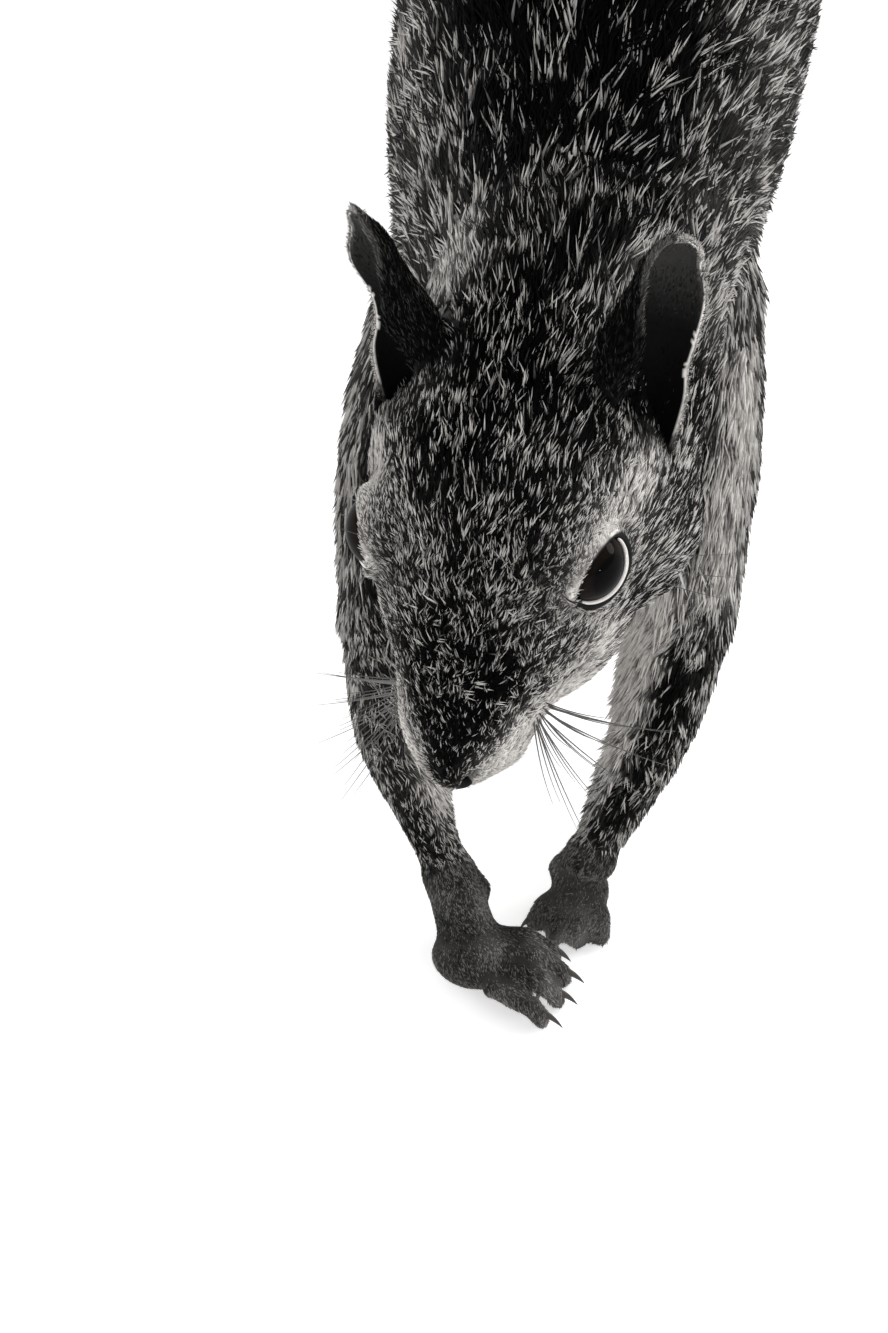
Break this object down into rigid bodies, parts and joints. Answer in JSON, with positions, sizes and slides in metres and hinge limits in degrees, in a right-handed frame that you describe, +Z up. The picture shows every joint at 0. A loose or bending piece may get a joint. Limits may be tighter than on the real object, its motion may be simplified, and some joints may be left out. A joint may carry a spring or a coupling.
{
  "type": "grey squirrel",
  "caption": "Life-size grey squirrel in a low crouch on all fours, nose down, hands together under the nose, hind feet flat and bushy tail laid out behind.",
  "frame": {"origin": "on the floor, under the middle of the object's bounding box", "axes": "+Z up, -Y towards the nose, +X to the squirrel's left"},
  "size_m": [0.0848, 0.4518, 0.0993],
  "materials": {
    "fur": "short grizzled fur, matt",
    "tail_fur": "long loose hair, matt",
    "ear": "thin skin with fine short hair, matt",
    "paw": "short hair with bare dark pads and claws",
    "eye": "wet gloss"
  },
  "bodies": {
    "root": {"chest": "fur", "ear_left": "ear", "ear_right": "ear", "eye_left": "eye", "eye_right": "eye", "foot_left": "paw", "foot_right": "paw", "forearm_left": "fur", "forearm_right": "fur", "hand_left": "paw", "hand_right": "paw", "head": "fur", "hips": "fur", "neck": "fur", "shank_left": "fur", "shank_right": "fur", "tail_base": "tail_fur", "tail_middle": "tail_fur", "tail_tip": "tail_fur", "thigh_left": "fur", "thigh_right": "fur", "upper_arm_left": "fur", "upper_arm_right": "fur", "waist": "fur"}
  },
  "joints": []
}
